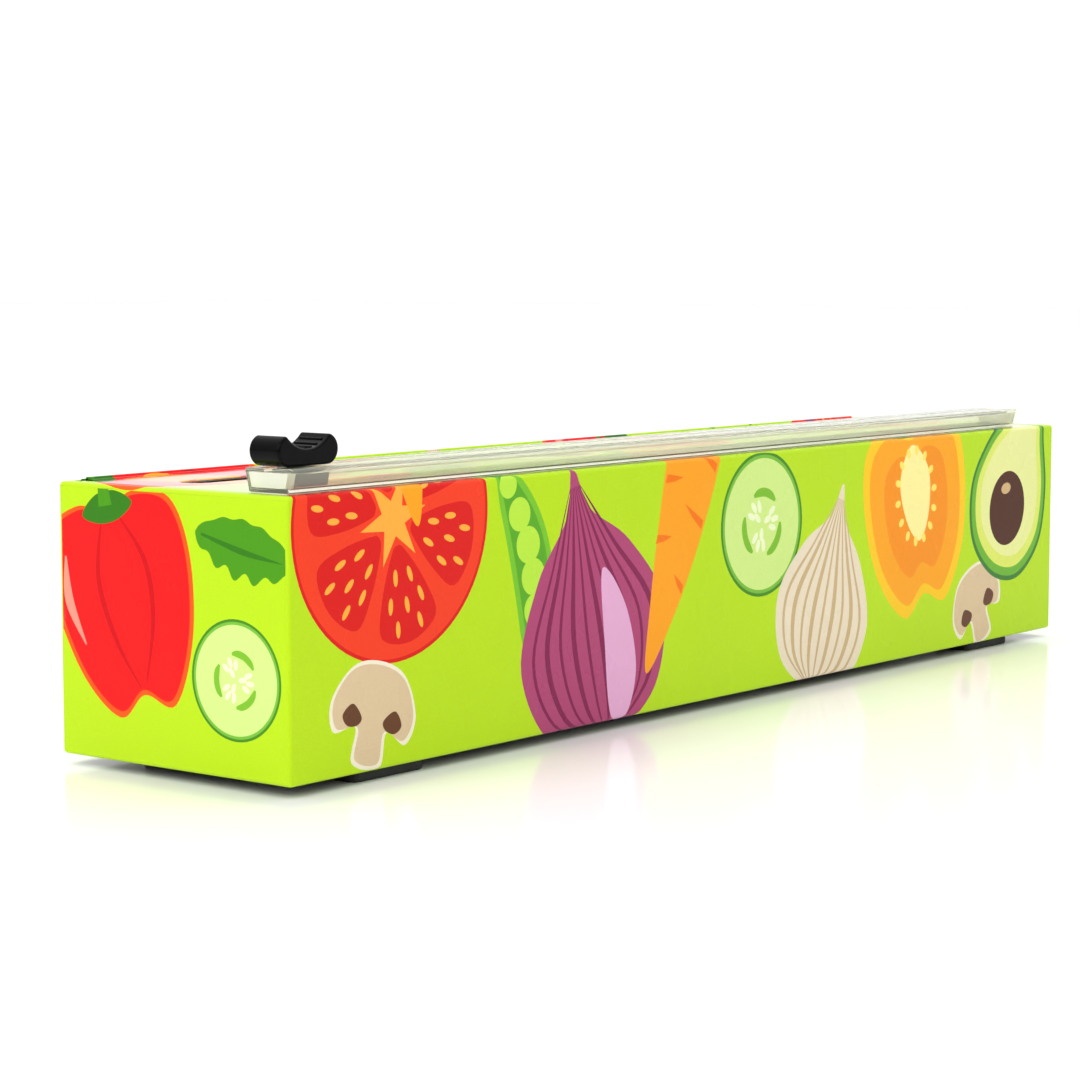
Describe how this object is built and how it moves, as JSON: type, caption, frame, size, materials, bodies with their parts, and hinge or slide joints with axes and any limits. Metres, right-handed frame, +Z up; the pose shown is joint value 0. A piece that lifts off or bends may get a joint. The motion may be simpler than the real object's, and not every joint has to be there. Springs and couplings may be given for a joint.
{
  "type": "cling film dispenser",
  "caption": "Long printed board box holding a roll of cling film, with an inset lid hinged at the back, a film slot, and a clear track with a thumb slide cutter.",
  "frame": {"origin": "centre of the box's footprint, on the surface that its rubber feet stand on", "axes": "+X along the box, away from the end where the slider parks; the front face with the cutter looks along -Y; +Z up"},
  "size_m": [0.343, 0.072, 0.0781],
  "materials": {
    "board": "uncoated grey board",
    "printed_paper": "printed and gloss laminated",
    "lining_paper": "white uncoated paper",
    "rubber": "matte black",
    "magnet": "nickel plated",
    "catch_steel": "plain zinc plated",
    "adhesive_tape": "double sided tape",
    "clear_plastic": "clear extruded",
    "black_plastic": "moulded gloss black",
    "blade_steel": "ground thin steel",
    "core_card": "spiral wound kraft card",
    "cling_film": "clear film, tightly wound"
  },
  "bodies": {
    "box": {"bottom_board": "board", "front_board": "board", "back_board": "board", "left_end_board": "board", "right_end_board": "board", "front_ledge": "board", "left_ledge": "board", "right_ledge": "board", "catch_magnets": "magnet", "outer_wrap": "printed_paper", "left_end_wrap": "printed_paper", "right_end_wrap": "printed_paper", "inner_liner": "lining_paper", "hinge_strip": "printed_paper", "rubber_foot_front_left": "rubber", "rubber_foot_front_right": "rubber", "rubber_foot_back_left": "rubber", "rubber_foot_back_right": "rubber"},
    "lid": {"lid_board": "board", "lid_wrap": "printed_paper", "lid_liner": "lining_paper", "catch_plates": "catch_steel", "track_tape": "adhesive_tape", "cutter_track": "clear_plastic", "track_stop_left": "clear_plastic", "track_stop_right": "clear_plastic"},
    "slider": {"slider_knob": "black_plastic", "slider_shoe": "black_plastic", "cutter_blade": "blade_steel"},
    "roll": {"film_core": "core_card", "film_roll": "cling_film"}
  },
  "joints": [
    {"name": "lid_hinge", "type": "hinge", "parent": "box", "child": "lid", "pos_m": [0, 0.03315, 0.0658], "axis": [-1, 0, 0], "range_deg": [0, 180]},
    {"name": "slider_slide", "type": "slide", "parent": "lid", "child": "slider", "axis": [1, 0, 0], "range_m": [0, 0.3036]},
    {"name": "roll_spin", "type": "hinge", "parent": "box", "child": "roll", "pos_m": [0, 0, 0.02875], "axis": [1, 0, 0], "continuous": true}
  ]
}
